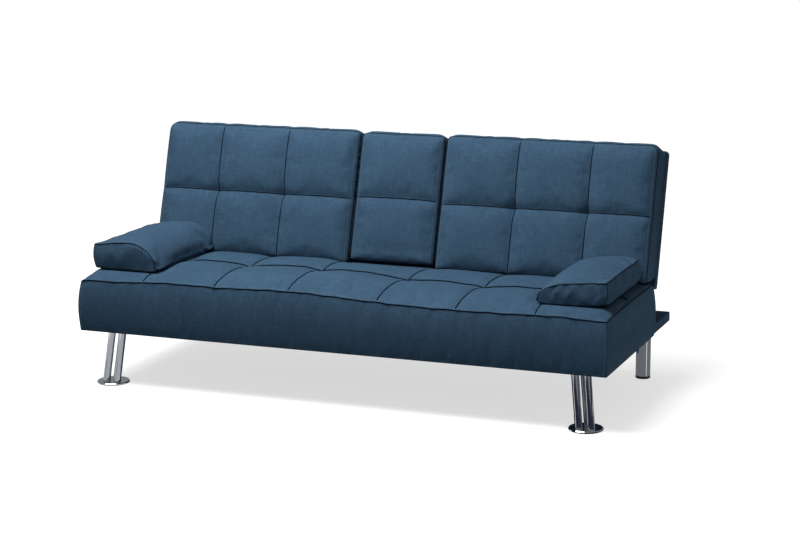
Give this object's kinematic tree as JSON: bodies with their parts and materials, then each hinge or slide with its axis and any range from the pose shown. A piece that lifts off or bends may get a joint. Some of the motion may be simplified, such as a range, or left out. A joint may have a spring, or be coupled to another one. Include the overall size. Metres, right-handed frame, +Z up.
{
  "type": "futon sofa bed",
  "caption": "Upholstered click-clack sofa bed: a tufted back folds flat onto a rear ledge, its centre folds forward as a cup-holder table, with loose arm cushions and chrome legs.",
  "frame": {"origin": "centre of the footprint at floor level", "axes": "+X along the sofa to the sitter's left hand side seen from behind (the right-hand end seen from the front), -Y the way the sitter faces, +Z up"},
  "size_m": [1.82, 0.82, 0.8073],
  "materials": {
    "blue_fabric": "woven slub polyester, mid blue",
    "lining_fabric": "black non-woven lining",
    "felt": "grey needle felt",
    "foam": "polyurethane foam",
    "pine": "planed pine",
    "board": "plywood and hardboard",
    "spring_wire": "oil-tempered wire",
    "zinc_steel": "zinc plated",
    "black_steel": "black painted steel",
    "chrome": "polished chrome",
    "black_plastic": "moulded black plastic"
  },
  "bodies": {
    "base": {"seat_front_rail": "pine", "seat_rear_rail": "pine", "seat_left_side_board": "pine", "seat_right_side_board": "pine", "seat_cross_rails": "pine", "front_leg_blocks": "pine", "ledge_bearers": "pine", "ledge_deck_board": "board", "ledge_edge_strips": "pine", "seat_zigzag_springs": "spring_wire", "seat_felt_pad": "felt", "seat_foam": "foam", "seat_cover": "blue_fabric", "seat_dust_cover": "lining_fabric", "ledge_cover": "blue_fabric", "front_left_leg_plate": "chrome", "front_left_leg_tubes": "chrome", "front_left_leg_foot": "chrome", "front_right_leg_plate": "chrome", "front_right_leg_tubes": "chrome", "front_right_leg_foot": "chrome", "rear_left_leg_flange": "chrome", "rear_left_leg_tube": "chrome", "rear_right_leg_flange": "chrome", "rear_right_leg_tube": "chrome", "rear_leg_glides": "black_plastic", "front_foot_pads": "felt", "leg_screws": "zinc_steel", "left_hinge_seat_plate": "zinc_steel", "right_hinge_seat_plate": "zinc_steel", "hinge_pivot_bolts": "zinc_steel", "hinge_plate_screws": "zinc_steel", "pawl_rivets": "zinc_steel", "pawl_springs": "spring_wire"},
    "backrest": {"left_hinge_back_arm": "zinc_steel", "right_hinge_back_arm": "zinc_steel", "hinge_arm_screws": "zinc_steel", "back_top_rail": "pine", "back_bottom_rail": "pine", "back_stiles": "pine", "back_webbing": "lining_fabric", "back_hardboard": "board", "recess_board": "board", "back_rear_cover": "blue_fabric", "left_back_foam": "foam", "left_back_cover": "blue_fabric", "right_back_foam": "foam", "right_back_cover": "blue_fabric", "table_pivot_ears": "black_steel"},
    "table": {"table_pivot_pins": "black_steel", "table_board": "board", "table_base_bar": "pine", "table_foam": "foam", "table_cover": "blue_fabric", "cup_holders": "black_plastic"},
    "left_pawl": {"left_hinge_pawl": "zinc_steel"},
    "right_pawl": {"right_hinge_pawl": "zinc_steel"},
    "left_cushion": {"left_arm_cushion": "blue_fabric"},
    "right_cushion": {"right_arm_cushion": "blue_fabric"}
  },
  "joints": [
    {"name": "back_recline", "type": "hinge", "parent": "base", "child": "backrest", "pos_m": [0, 0.15062, 0.32], "axis": [-1, 0, 0], "range_deg": [0, 73]},
    {"name": "table_fold", "type": "hinge", "parent": "backrest", "child": "table", "pos_m": [0, 0.13865, 0.40058], "axis": [1, 0, 0], "range_deg": [0, 102]},
    {"name": "left_pawl_swing", "type": "hinge", "parent": "base", "child": "left_pawl", "pos_m": [-0.876, 0.11802, 0.266], "axis": [1, 0, 0], "range_deg": [0, 7.6]},
    {"name": "right_pawl_swing", "type": "hinge", "parent": "base", "child": "right_pawl", "pos_m": [0.876, 0.11802, 0.266], "axis": [1, 0, 0], "range_deg": [0, 7.6]},
    {"name": "left_cushion_lift", "type": "slide", "parent": "base", "child": "left_cushion", "axis": [0, 0, 1], "range_m": [0, 0.3]},
    {"name": "right_cushion_lift", "type": "slide", "parent": "base", "child": "right_cushion", "axis": [0, 0, 1], "range_m": [0, 0.3]}
  ],
  "couplings": [
    {"joint": "left_pawl_swing", "follows": "back_recline", "ratio": 0.104},
    {"joint": "right_pawl_swing", "follows": "back_recline", "ratio": 0.104}
  ]
}
